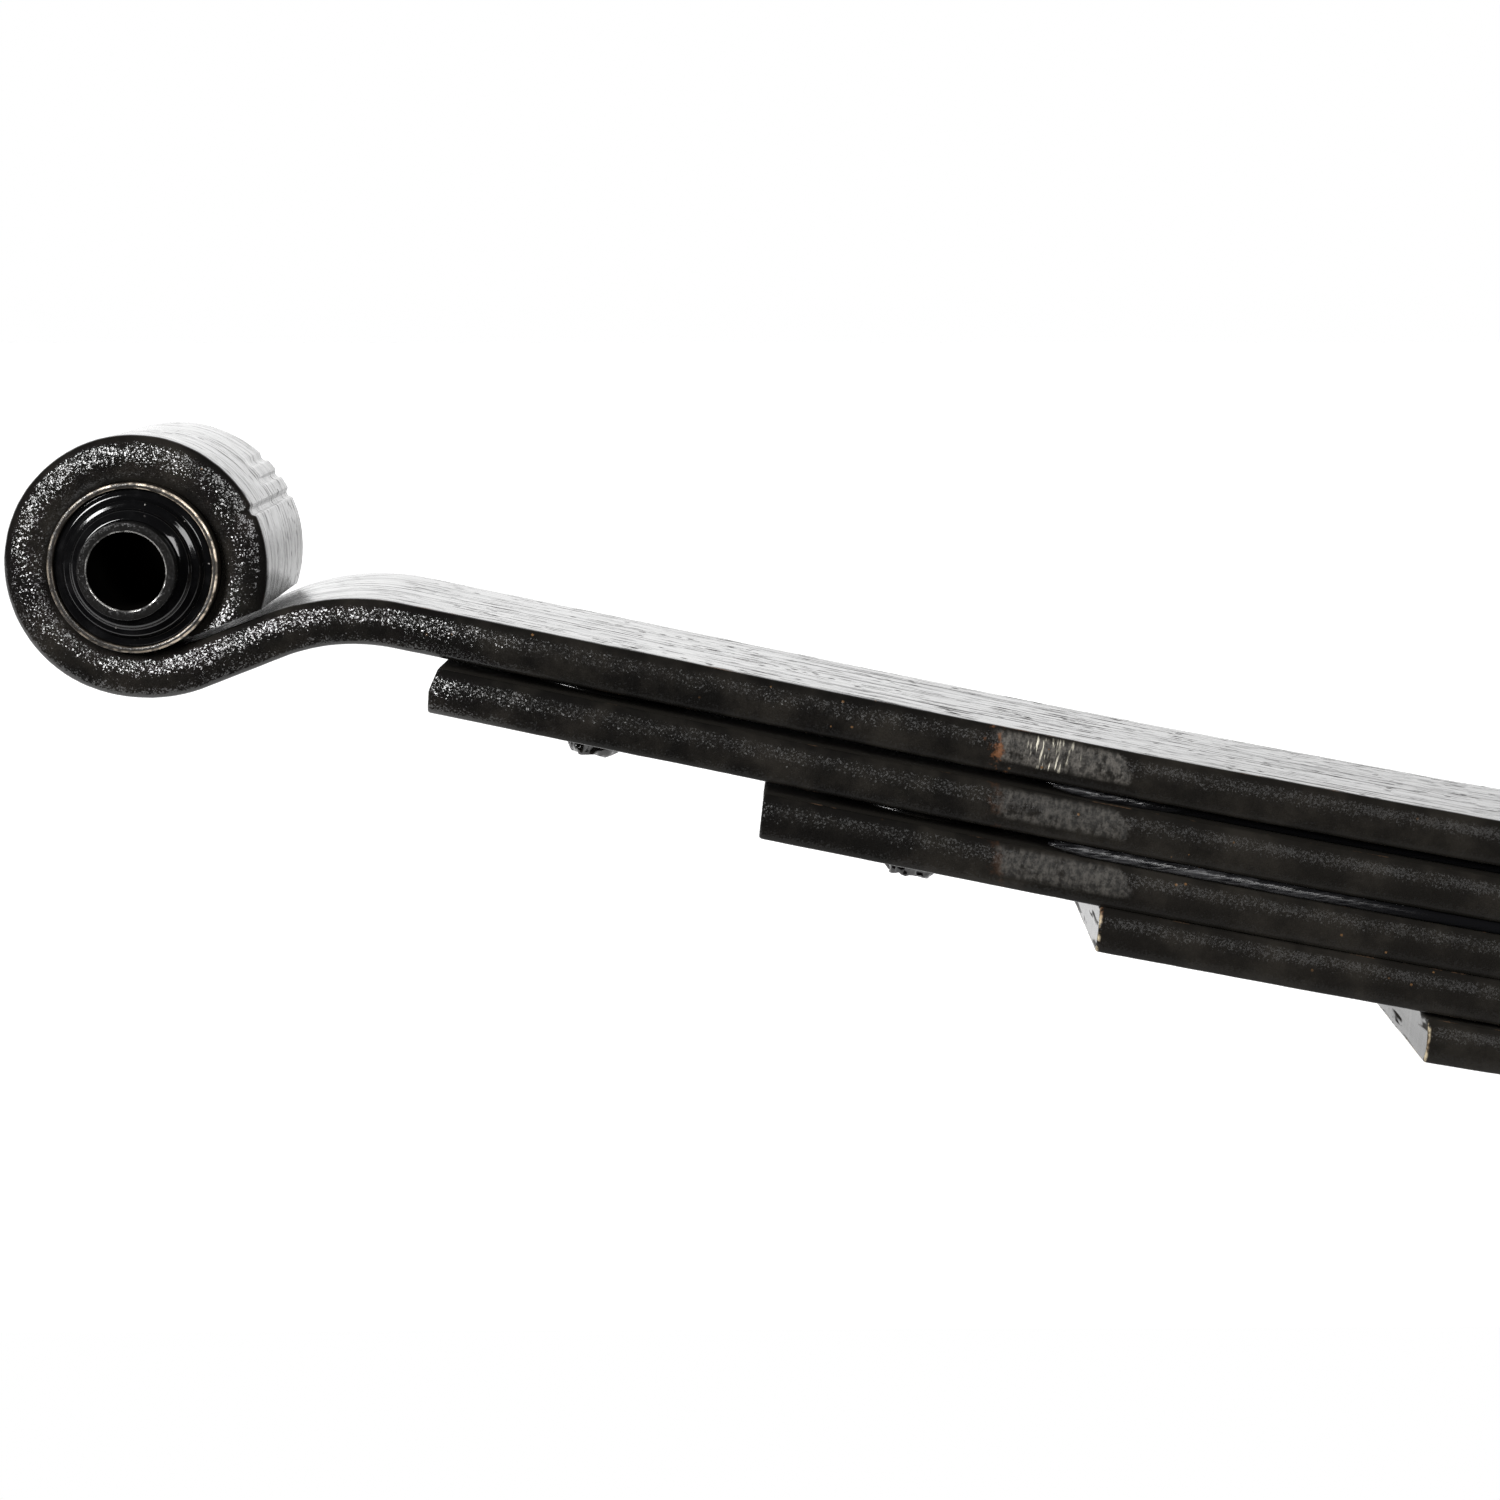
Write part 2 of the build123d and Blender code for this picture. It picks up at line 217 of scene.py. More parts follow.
to_crest = limb_steps(0.0)
from_crest = [arc(crest_radius, -crest_turn), (neck_length, 0.0), arc(throat_radius, throat_turn)]
station = leaf_start(1)
for step in to_crest:
    station = advance(station, *step)
limb_end = station
for step in from_crest:
    station = advance(station, *step)
short = eye_x - (station[0] - eye_mean * sin(radians(station[2])))
main_steps = to_crest + [(short / cos(radians(limb_end[2])), 0.0)] + from_crest
main_length = sum(length for length, turn in main_steps)
eye_first = station[2] - 90.0  # angle round the eye where the throat meets it
cut_of_eye = limb_end[2] - crest_turn - 90.0  # from the eye's centre, square to its cut end
neck_distance = throat_radius - (throat_radius - eye_mean) * cos(radians(throat_turn))
cut_distance = neck_distance - thick / 2 - eye_end_gap


# ---- mesh tools
edge_steps, corner_steps = 8, 4  # round a bar's rolled edge, and round its corner


def half_section(thickness, width, bulge, corner, spacing=2.5):
    """(across, height) from one edge of a rolled flat bar to the other, along its upper side."""
    tall, wide = thickness / 2, width / 2
    middle = wide - bulge
    slope = asin((tall - corner) / (bulge - corner))
    shoulder = middle + (bulge - corner) * cos(slope)
    edge = []
    for k in range(edge_steps):
        a = slope * k / edge_steps
        edge.append((middle + bulge * cos(a), bulge * sin(a)))
    for k in range(corner_steps + 1):
        a = slope + (pi / 2 - slope) * k / corner_steps
        edge.append((shoulder + corner * cos(a), tall - corner + corner * sin(a)))
    count = round(2 * shoulder / spacing)
    flat = [(shoulder - 2 * shoulder * k / count, tall) for k in range(1, count)]
    return edge + flat + [(-y, h) for y, h in reversed(edge)]


def ring_points(upper):
    """The whole section, as (across, height), round from one edge and back."""
    return upper + [(y, -h) for y, h in reversed(upper[1:-1])]


def girths(points):
    """Distance round the section at each point, for the wear and streaks to follow."""
    found = [0.0]
    for (y0, h0), (y1, h1) in zip(points, points[1:]):
        found.append(found[-1] + hypot(y1 - y0, h1 - h0))
    return found


def end_faces(first, size, flip):
    """Faces across a ring of points that is the same above and below."""
    faces = []
    for k in range(size // 2):
        a, b = first + k, first + k + 1
        c, d = first + (size - k - 1) % size, first + (size - k) % size
        corners = list(dict.fromkeys((a, b, c, d)))
        faces.append(tuple(reversed(corners)) if flip else tuple(corners))
    return faces


def new_piece(name, points, faces):
    """A piece from points in millimetres."""
    mesh = bpy.data.meshes.new(name)
    mesh.from_pydata([tuple(c * MM for c in p) for p in points], [], faces)
    mesh.update()
    piece = bpy.data.objects.new(name, mesh)
    bpy.context.scene.collection.objects.link(piece)
    return piece


def keep(mesh, name, values):
    """Keeps a number for each point, for the material to read."""
    mesh.attributes.new(name, "FLOAT", "POINT").data.foreach_set("value", values)


def swept_bar(name, rings, distances, section, sign, seed, rim_rings=0):
    """A closed bar through rings of points, with its length and girth kept as a UV map."""
    size = len(section)
    faces = []
    for i in range(len(rings) - 1):
        for j in range(size):
            k = (j + 1) % size
            quad = (i * size + j, i * size + k, (i + 1) * size + k, (i + 1) * size + j)
            faces.append(quad if sign > 0 else tuple(reversed(quad)))
    sides = len(faces)
    last = (len(rings) - 1) * size
    faces += end_faces(0, size, sign > 0) + end_faces(last, size, sign < 0)
    piece = new_piece(name, [(sign * x, y, z) for ring in rings for x, y, z in ring], faces)
    mesh = piece.data
    around = girths(section)
    total = around[-1] + hypot(section[0][0] - section[-1][0], section[0][1] - section[-1][1])
    layer = mesh.uv_layers.new(name="along")
    for face in mesh.polygons:
        face.use_smooth = face.index < sides
        wraps = face.use_smooth and any(v % size == size - 1 for v in face.vertices)
        for loop in face.loop_indices:
            v = mesh.loops[loop].vertex_index
            g = total if wraps and v % size == 0 else around[v % size]
            along = distances[v // size] + seed * 977.0
            if not face.use_smooth:  # an end counts as bare flat
                across, height = section[v % size]
                along, g = along + 0.3 * across, 0.75 * total + 0.25 * height
            layer.data[loop].uv = (along * MM, g * MM)
    for edge in mesh.edges:
        a, b = edge.vertices
        if a // size == b // size and a // size in (0, len(rings) - 1):
            edge.use_edge_sharp = True
    worn_rings = range(len(rings) - 1 - rim_rings, len(rings) - 1)
    keep(mesh, "rim", [float(v // size in worn_rings) for v in range(len(mesh.vertices))])
    return piece


def softened(corners, size, steps=3, closed=True):
    """The outline with each corner rounded off over a length of about size."""
    found = []
    count = len(corners)
    for k, (r, h) in enumerate(corners):
        if not closed and k in (0, count - 1):
            found.append((r, h))
            continue
        before, after = corners[k - 1], corners[(k + 1) % count]
        apart = [hypot(p[0] - r, p[1] - h) for p in (before, after)]
        reach = [min(size, 0.45 * length) / length for length in apart]
        start = (r + (before[0] - r) * reach[0], h + (before[1] - h) * reach[0])
        stop = (r + (after[0] - r) * reach[1], h + (after[1] - h) * reach[1])
        for i in range(steps + 1):
            t = i / steps
            a, b, c = (1 - t) ** 2, 2 * t * (1 - t), t * t
            found.append((a * start[0] + b * r + c * stop[0], a * start[1] + b * h + c * stop[1]))
    return found


def turned(name, profile_at, origin, axes, count, sharp=35):
    """A body turned about the third of three axes. profile_at(angle) gives its (radius, height)
    outline there: closed, or from one point on the axis to another."""
    u, v, w = (Vector(a) for a in axes)
    outlines = [profile_at(2 * pi * k / count) for k in range(count)]
    size = len(outlines[0])
    poled = outlines[0][0][0] == 0
    points, faces = [], []
    for k, outline in enumerate(outlines):
        a = 2 * pi * k / count
        for r, h in outline:
            points.append(Vector(origin) + (u * cos(a) + v * sin(a)) * r + w * h)
    for k in range(count):
        n = (k + 1) % count
        for j in range(size - 1 if poled else size):
            i = (j + 1) % size
            faces.append((k * size + j, k * size + i, n * size + i, n * size + j))
    piece = new_piece(name, points, faces)
    tidy_mesh(piece.data, sharp)
    return piece


def tidy_mesh(mesh, sharp):
    """Joins doubled points, turns all faces outwards and shades smooth between sharp edges."""
    bm = bmesh.new()
    bm.from_mesh(mesh)
    bmesh.ops.remove_doubles(bm, verts=bm.verts, dist=1e-7)
    bmesh.ops.recalc_face_normals(bm, faces=bm.faces)
    bm.to_mesh(mesh)
    bm.free()
    for face in mesh.polygons:
        face.use_smooth = True
    mesh.set_sharp_from_angle(angle=radians(sharp))


def dressed(name, node, bevel, sharp=30):
    """A copy of a CAD node with its edges rounded off."""
    bm = bmesh.new()
    bm.from_mesh(frame["nodes"][node].data)
    bmesh.ops.remove_doubles(bm, verts=bm.verts, dist=1e-6)
    bmesh.ops.dissolve_limit(bm, angle_limit=radians(1.5), verts=bm.verts, edges=bm.edges)
    joined = [e for e in bm.edges if len(e.link_faces) == 2]
    bmesh.ops.bevel(
        bm,
        geom=[e for e in joined if e.calc_face_angle() > radians(sharp)],
        offset=bevel * MM,
        segments=3,
        profile=0.5,
        affect="EDGES",
        clamp_overlap=True,
    )
    bm.verts.index_update()
    points = [tuple(c / MM for c in v.co) for v in bm.verts]
    faces = [tuple(v.index for v in f.verts) for f in bm.faces]
    bm.free()
    piece = new_piece(name, points, faces)
    tidy_mesh(piece.data, sharp)
    return piece


def roughen(piece, swell=0.10, hammer=0.05, peen=0.035):
    """Unevenness of rolled and shot-peened bar, in the mesh itself."""
    mesh = piece.data
    for v, normal in zip(mesh.vertices, [v.normal.copy() for v in mesh.vertices]):
        if abs(v.co.x) < 1e-6:
            normal.x = 0.0  # the halves of a leaf keep one surface where they meet
        wide = noise.noise(v.co * 45.0)
        middling = noise.noise(v.co * 260.0)
        fine = noise.noise(v.co * 700.0)
        v.co += normal * (wide * swell + middling * hammer + fine * peen) * MM


def bends(piece):
    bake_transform(piece)


def numbered(piece, number):
    """Keeps which leaf this is, or which leaf a liner is under, for its material."""
    keep(piece.data, "leaf", [float(number)] * len(piece.data.vertices))


def place(piece, node, slot, body=None, end=None):
    """Gives a finished piece its material and its body, or, for one end's pieces, bakes its
    placing into its points.
    """
    rest = piece.data.attributes.new("rest", "FLOAT_VECTOR", "POINT")
    for v in piece.data.vertices:
        rest.data[v.index].vector = v.co
    piece.data.materials.append(materials[slot])
    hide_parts(node)
    if end:
        bends(piece)
    else:
        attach(piece, body)


# ---- leaves
leaf_section = ring_points(half_section(thick, 2 * half_width, edge_radius, corner_radius))
ring_spacing = 3.0

# marks of the forming tool on the eye: angle above horizontal, where across they begin, depth
tool_marks = ((25.0, -90.0, 1.0), (35.5, 2.0, 0.95), (45.5, 6.0, 0.8))
mark_half_width = 1.15

# sheared tips: how far the cut leans, how its far side falls short, and the rounding of its edges
tip_lean = 0.085
tip_skew = 0.033
tip_rounding = ((0.9, 0.0), (0.35, 0.12), (0.08, 0.4), (0.0, 0.75))  # back from the tip, inset
second_tip_bevel = 0.25


def beside(at, y, h, on=0.0):
    """The point y across and h above a station, moved on along it."""
    x, z, heading = at[:3]
    c, s = cos(radians(heading)), sin(radians(heading))
    return (x + c * on - s * h, y, z + s * on + c * h)


def plain_ring(at, section):
    return [beside(at, y, h) for y, h in section]


def mark_depth(angle, y):
    """How deep the forming tool's marks are at this angle round the eye, on its outside."""
    depth = 0.0
    for mark_angle, fade_at, deepest in tool_marks:
        away = radians(angle - mark_angle) * (bush_radius + thick) / mark_half_width
        across = min(1.0, max(0.0, (y - fade_at + 10.0) / 20.0))
        depth += deepest * across * across * (3 - 2 * across) * exp(-(away**4))
    return depth


def eye_ring(u, section):
    """A ring of the eye, u from 0 where the throat ends to 1 at its cut end."""
    shear_from = 0.72
    nominal_end = eye_first + eye_wrap
    start = eye_first + eye_wrap * shear_from
    ring = []
    for y, h in section:
        radius = eye_mean - h
        reach = max(radius, cut_distance / cos(radians(nominal_end - 360.0 - cut_of_eye)))
        end = cut_of_eye + 360.0 - degrees(acos(min(1.0, cut_distance / reach)))
        if u <= shear_from:
            angle = eye_first + eye_wrap * u
        else:
            angle = start + (end - start) * (u - shear_from) / (1 - shear_from)
        if h < 0:
            outside = min(1.0, -h / (thick / 2))
            radius -= outside * mark_depth(180.0 - angle, y)
        a = radians(angle)
        ring.append((eye_x + radius * cos(a), y, eye_z + radius * sin(a)))
    return ring


def tip_rings(at, section, number):
    """The last rings of a leaf, where its sheared end's edges are rounded off."""
    rings = []
    for back, inset in tip_rounding:
        ring = []
        for y, h in section:
            lean = tip_lean * h - tip_skew * (y + half_width)
            if number == 2:
                lean -= second_tip_bevel * max(0.0, h)
            y *= 1 - inset / half_width
            h *= 1 - inset / (thick / 2)
            ring.append(beside(at, y, h, lean - back))
        rings.append(ring)
    return rings


def make_leaf(number, end, sign):
    start = leaf_start(number)
    if number == 1:
        at = stations_of(start, main_steps, ring_spacing)
        rings = [plain_ring(s, leaf_section) for s in at]
        distances = [s[3] for s in at]
        for k in range(1, eye_rings + 1):
            rings.append(eye_ring(k / eye_rings, leaf_section))
            distances.append(main_length + eye_mean * radians(eye_wrap) * k / eye_rings)
        tip_count = 0
    else:
        at = stations_of(start, leaf_steps(number), ring_spacing)
        while at[-1][3] - at[-2][3] < 1.5 * ring_spacing:
            del at[-2]
        rings = [plain_ring(s, leaf_section) for s in at[:-1]]
        distances = [s[3] for s in at[:-1]]
        tips = tip_rings(at[-1], leaf_section, number)
        rings += tips
        distances += [at[-1][3] - back for back, inset in tip_rounding]
        tip_count = len(tips) - 2
    name = f"{end}_{leaf_names[number - 1]}_leaf"
    seed = number + (10 if sign > 0 else 0)
    piece = swept_bar(name, rings, distances, leaf_section, sign, seed, tip_count)
    roughen(piece)
    numbered(piece, number)
    place(piece, f"{leaf_names[number - 1]}_leaf", "leaf_paint", end=end)


# ---- liners
def make_liner(name, end, sign):
    number = list(liner_widths).index(name) + 1
    gap = gaps[number - 1]
    drop = drop_of(number) + (thick + gap) / 2
    start = (0.0, main_middle - drop, 0.0)
    height = gap - 0.2
    section = ring_points(half_section(height, liner_widths[name], 1.5, 0.4, spacing=1.2))
    whole = liner_half - liner_tear
    at = stations_of(start, cut_to(limb_steps(drop), whole), ring_spacing)
    distances = [s[3] for s in at]
    spread = liner_spread if number == 1 else 0.0

    def widened(distance, y):
        """The upper liner has crept out sideways near its torn end, in folds."""
        near_end = max(0.0, 1 - (whole - distance) / 26.0)
        fold = 0.75 + 0.5 * noise.noise(Vector((distance * 0.22, y / 20.0, sign * 2.0)))
        return y * (1 + spread * near_end**0.6 * fold)

    rings = [plain_ring(s, [(widened(s[3], y), h) for y, h in section]) for s in at]
    tear_rings = 6
    for k in range(1, tear_rings + 1):
        share = k / tear_rings
        ring = []
        for y, h in section:
            y = widened(whole, y)
            torn = 8.0 + 7.0 * noise.noise(Vector((y * 0.16, number * 5.0, sign * 3.0)))
            torn += 2.5 * noise.noise(Vector((y * 0.9, number * 2.0, sign)))
            thin = 1 - 0.75 * share * share
            lift = 0.35 * share * sin(y * 0.35 + number)
            ring.append(beside(at[-1], y, h * thin + lift, torn * share))
        rings.append(ring)
        distances.append(at[-1][3] + liner_tear * share)
    piece = swept_bar(f"{end}_{name}", rings, distances, section, sign, number + 30)
    numbered(piece, number)
    place(piece, name, "liner_film", end=end)


# ---- bushes
across_eye = ((1, 0, 0), (0, 0, 1), (0, 1, 0))
run_at, run_spread, run_depth = 3.6, 0.5, 0.95  # a run of paint in the sleeve's far mouth


def ring_profile(inner, outer, length, rounding):
    half = length / 2
    return softened([(outer, -half), (outer, half), (inner, half), (inner, -half)], rounding)


def make_bush(end, sign):
    limb = f"{end}_limb"
    centre = (sign * eye_x, 0.0, eye_z)
    worn = Vector((sign * 11.0, 3.0, 0.0))

    def shell(angle):
        dent = 0.12 * noise.noise(Vector((cos(angle) * 3, sin(angle) * 3, 0)) + worn)
        return ring_profile(shell_bore, bush_radius, shell_length + 0.6 * dent, 0.42)

    def rubber(angle):
        end_face = [(r, shell_length / 2 + h) for r, h in rubber_steps]
        ripple = 0.10 * noise.noise(Vector((cos(angle) * 2, sin(angle) * 2, 5)) + worn)
        end_face = [(r, h + ripple) for r, h in end_face]
        mirrored = [(r, -h) for r, h in reversed(end_face)]
        return softened(end_face + mirrored, 0.7, steps=4)

    def sleeve(angle):
        paint_run = run_depth * exp(-(((angle - run_at) / run_spread) ** 2))
        outline = ring_profile(sleeve_bore, sleeve_radius, sleeve_length, 0.45)
        return [(r - paint_run if r < sleeve_bore + 0.3 and h > 0 else r, h) for r, h in outline]

    for part, profile, body, slot in (
        ("shell", shell, limb, "bush_steel"),
        ("rubber", rubber, limb, "bush_rubber"),
        ("sleeve", sleeve, f"{end}_sleeve", "sleeve_steel"),
    ):
        piece = turned(f"{end}_{part}", profile, centre, across_eye, bush_points)
        place(piece, f"{end}_bush_{part}", slot, body=body)


# ---- tip inserts
def make_insert(number, end, sign):
    gap = gaps[number - 2]
    from_centre = half_lengths[number - 2] - insert_from_tip
    x, z, heading = station_at(leaf_steps(number), leaf_start(number), from_centre)
    up = (-sign * sin(radians(heading)), 0, cos(radians(heading)))
    along = (cos(radians(heading)), 0, sign * sin(radians(heading)))
    top = thick / 2 + gap - 0.08
    base = thick / 2 + 0.05
    under = -thick / 2
    ragged = Vector((number * 7.0, sign * 4.0, 0.0))

    def profile(angle):
        def flash(radius, height, reach):
            round_it = Vector((cos(angle) * 1.9, sin(angle) * 1.9, height * 0.6))
            coarse, fine = noise.noise(round_it + ragged), noise.noise(round_it * 2.7 + ragged)
            return radius + reach * (coarse + 0.5 * fine)

        pushed = -sign * peg_lean * cos(angle)
        return softened(
            [
                (0, top),
                (insert_radius - 0.85, top),
                (insert_radius - 0.60, top - 0.25),
                (insert_radius, base + 0.25),
                (insert_radius - 0.30, base),
                (peg_radius, base),
                (peg_radius, under - 0.6),
                (flash(6.9, 1, 1.4) + 0.4 * pushed, under - 1.8),
                (flash(6.7, 2, 2.0) + pushed, under - 3.9),
                (flash(6.4, 3, 2.0) + pushed, flash(under - 5.9, 5, 1.0)),
                (flash(5.2, 4, 1.6) + pushed, flash(under - peg_length, 6, 1.2)),
                (0, under - peg_length),
            ],
            0.5,
            steps=2,
            closed=False,
        )

    axes = (along, (0, 1, 0), up)
    name = f"{leaf_names[number - 1]}_leaf_insert"
    piece = turned(f"{end}_{name}_moulded", profile, (sign * x, 0, z), axes, bolt_points)
    place(piece, f"{end}_{name}", "insert_plastic", end=end)


# ---- bolts, nuts and clips
def thread(radius, pitch, start, stop, angle):
    """Outline points along a threaded stretch, from start to stop, at an angle round the bolt."""
    depth = 0.54 * pitch
    count = ceil(abs(stop - start) / pitch * 8)
    found = []
    for k in range(count + 1):
        h = start + (stop - start) * k / count
        phase = (h / pitch - angle / (2 * pi)) % 1.0
        run_in = min(1.0, abs(h - start) / pitch, abs(stop - h) / pitch + 0.35)
        cut = depth * min(1.0, 1.25 * (1 - abs(2 * phase - 1)))
        found.append((radius - cut * run_in, h))
    return found


def hexagon(flats, angle):
    """The radius of a hexagon at an angle, and how far its chamfered corner drops there."""
    radius = flats / 2 / cos(angle % (pi / 3) - pi / 6)
    return radius, max(0.0, (radius - flats / 2) * sin(nut_chamfer) / cos(nut_chamfer))


nut_sharp = 24  # the least angle of a bolt head's or nut's sharp edges, in degrees


def nut_profile(flats, bore, bottom, top):
    def profile(angle):
        radius, drop = hexagon(flats, angle)
        return [
            (bore + 0.5, top),
            (flats / 2 * 0.96, top),
            (radius - 0.25, top - drop - 0.05),
            (radius, top - drop - 0.35),
            (radius, bottom + drop + 0.35),
            (radius - 0.25, bottom + drop + 0.05),
            (flats / 2 * 0.96, bottom),
            (bore + 0.5, bottom),
            (bore, bottom + 0.5),
            (bore, top - 0.5),
        ]

    return profile


upright = ((1, 0, 0), (0, 1, 0), (0, 0, 1))
nut_turn = ((0, -1, 0), (1, 0, 0), (0, 0, 1))  # upright, with two flats facing the leaves' sides


def make_centre_bolt():
    top = high("centre_bolt", Z)
    thread_from = pack_height - 14.0

    def bolt(angle):
        head = softened(
            [
                (0, -bolt_head_height),
                (bolt_head_radius, -bolt_head_height),
                (bolt_head_radius, -0.1),
                (bolt_radius, -0.1),
                (bolt_radius, thread_from),
            ],
            1.0,
            closed=False,
        )
        return head + thread(bolt_radius, thread_pitch, thread_from, top - 0.9, angle)[1:] + [
            (bolt_radius - 1.1, top),
            (0, top),
        ]

    piece = turned("locating_bolt", bolt, (0, 0, 0), upright, bolt_points)
    place(piece, "centre_bolt", "fastener_steel", body="centre_clamp")
    bottom = pack_height + 0.02
    profile = nut_profile(extent("centre_nut", Y), bolt_radius, bottom, high("centre_nut", Z))
    piece = turned("locating_nut", profile, (0, 0, 0), nut_turn, bolt_points, nut_sharp)
    place(piece, "centre_nut", "fastener_steel", body="centre_clamp")


def make_clip(end, sign):
    spacer = f"{end}_clip_spacer"
    x, z = ((low(spacer, axis) + high(spacer, axis)) / 2 for axis in (X, Z))
    # heights along -Y, where the head is
    tail, head = -high(f"{end}_clip_bolt", Y), -low(f"{end}_clip_bolt", Y)
    nut_out, nut_in = -high(f"{end}_clip_nut", Y), -low(f"{end}_clip_nut", Y)
    head_in = -low(f"{end}_clip_strap", Y)
    heading = station_at(leaf_steps(6), leaf_start(6), seat_half + clip_from_seat)[2]
    along = Vector((cos(radians(heading)), 0, sign * sin(radians(heading))))
    lines = (along, along.cross(Vector((0, 1, 0))), Vector((0, -1, 0)))

    def bolt(angle):
        radius, drop = hexagon(clip_flats, angle)
        rod = thread(clip_bolt_radius, clip_thread_pitch, tail + 0.8, nut_in + 4.0, angle)
        return [(0, tail), (clip_bolt_radius - 1.0, tail)] + rod + [
            (clip_bolt_radius, nut_in + 5.0),
            (clip_bolt_radius, head_in),
            (radius - 0.2, head_in),
            (radius, head_in + 0.2),
            (radius, head - drop - 0.4),
            (radius - 0.25, head - drop - 0.05),
            (clip_flats / 2 * 0.96, head),
            (0, head),
        ]

    nut = nut_profile(clip_flats, clip_bolt_radius, nut_out, nut_in)
    for part, look, profile in (("bolt", "threaded", bolt), ("nut", "chamfered", nut)):
        name = f"{end}_clip_{part}"
        piece = turned(f"{name}_{look}", profile, (x, 0, z), lines, clip_points, nut_sharp)
        place(piece, name, "fastener_steel", end=end)
    for part, rounding, slot in (
        ("strap", 0.9, "clip_paint"),
        ("rivet", 0.4, "clip_paint"),
        ("spacer", 0.5, "fastener_steel"),
    ):
        node = f"{end}_clip_{part}"
        piece = dressed(f"{end}_clip_{part}_rounded", node, rounding)
        place(piece, node, slot, end=end)


# ---- materials
class Graph:
    """Short calls for building the node tree of a material or a world."""

    def __init__(self, owner):
        owner.use_nodes = True
        self.owner, self.tree = owner, owner.node_tree
        self.tree.nodes.clear()

    def feed(self, socket, value):
        if isinstance(value, (int, float, tuple, list)):
            socket.default_value = value
        else:
            self.tree.links.new(value, socket)

    def node(self, kind, **settings):
        made = self.tree.nodes.new(kind)
        for key, value in settings.items():
            setattr(made, key, value)
        return made

    def maths(self, operation, a, b=0.0, c=0.0):
        made = self.node("ShaderNodeMath", operation=operation)
        for socket, value in zip(made.inputs, (a, b, c)):
            self.feed(socket, value)
        return made.outputs[0]

    def joined(self, operation, values):
        result = values[0]
        for value in values[1:]:
            result = self.maths(operation, result, value)
        return result

    def times(self, *values):
        return self.joined("MULTIPLY", values)

    def plus(self, *values):
        return self.joined("ADD", values)

    def most(self, *values):
        return self.joined("MAXIMUM", values)

    def less(self, value):
        return self.maths("SUBTRACT", 1.0, value)

    def split(self, vector):
        made = self.node("ShaderNodeSeparateXYZ")
        self.feed(made.inputs[0], vector)
        return made.outputs

    def attribute(self, name, output="Vector"):
        return self.node("ShaderNodeAttribute", attribute_name=name).outputs[output]

    def noise(self, vector, scale, detail=2.0, roughness=0.5):
        made = self.node("ShaderNodeTexNoise")
        self.feed(made.inputs["Vector"], vector)
        made.inputs["Scale"].default_value = scale
        made.inputs["Detail"].default_value = detail
        made.inputs["Roughness"].default_value = roughness
        return made.outputs[0]

    def cells(self, vector, scale, randomness=1.0):
        made = self.node("ShaderNodeTexVoronoi")
        self.feed(made.inputs["Vector"], vector)
        made.inputs["Scale"].default_value = scale
        made.inputs["Randomness"].default_value = randomness
        return made.outputs["Distance"]

    def stretch(self, vector, scale, offset=(0, 0, 0)):
        made = self.node("ShaderNodeMapping")
        self.feed(made.inputs["Vector"], vector)
        made.inputs["Scale"].default_value = scale
        made.inputs["Location"].default_value = offset
        return made.outputs[0]

    def streaks(self, vector, scale, detail=2.0, roughness=0.5, offset=(0, 0, 0)):
        """Noise drawn out by a different scale along each axis."""
        return self.noise(self.stretch(vector, scale, offset), 1.0, detail, roughness)

    def dots(self, vector, scale, outside, inside, patches, start, stop):
        """Round spots, only where patches rises from start to stop."""
        spots = self.ramp(self.cells(vector, scale), outside, inside)
        return self.times(spots, self.ramp(patches, start, stop))

    def ramp(self, value, start, stop, out_start=0.0, out_stop=1.0):
        """Smooth step of value between start and stop."""
        made = self.node("ShaderNodeMapRange", interpolation_type="SMOOTHSTEP")
        for socket, v in zip(made.inputs, (value, start, stop, out_start, out_stop)):
            self.feed(socket, v)
        return made.outputs[0]

    def band(self, value, start, stop, soft):
        """1 where value is between start and stop, fading over soft at each side."""
        rise = self.ramp(value, start - soft, start + soft)
        return self.times(rise, self.ramp(value, stop - soft, stop + soft, 1.0, 0.0))

    def blend(self, factor, a, b):
        made = self.node("ShaderNodeMix", data_type="FLOAT")
        self.feed(made.inputs[0], factor)
        self.feed(made.inputs[2], a)
        self.feed(made.inputs[3], b)
        return made.outputs[0]

    def mix(self, factor, a, b):
        made = self.node("ShaderNodeMix", data_type="RGBA")
        self.feed(made.inputs[0], factor)
        self.feed(made.inputs[6], (*a, 1) if isinstance(a, tuple) else a)
        self.feed(made.inputs[7], (*b, 1) if isinstance(b, tuple) else b)
        return made.outputs[2]

    def bump(self, height, depth, normal=None):
        """Bump of the given depth in metres for a height of 1."""
        made = self.node("ShaderNodeBump")
        self.feed(made.inputs["Strength"], 1.0)
        self.feed(made.inputs["Distance"], depth)
        self.feed(made.inputs["Height"], height)
        if normal is not None:
            self.feed(made.inputs["Normal"], normal)
        return made.outputs[0]

    def from_eye(self, rest):
        """Distance from the nearer eye's axis."""
        x, _, z = self.split(rest)
        across = self.maths("SUBTRACT", self.maths("ABSOLUTE", x), eye_x * MM)
        up = self.maths("SUBTRACT", z, eye_z * MM)
        return self.maths("SQRT", self.plus(self.times(across, across), self.times(up, up)))

    def vector(self, operation, a, b=(0, 0, 0)):
        made = self.node("ShaderNodeVectorMath", operation=operation)
        self.feed(made.inputs[0], a)
        if operation == "SCALE":
            self.feed(made.inputs["Scale"], b)
        else:
            self.feed(made.inputs[1], b)
        return made.outputs[0]

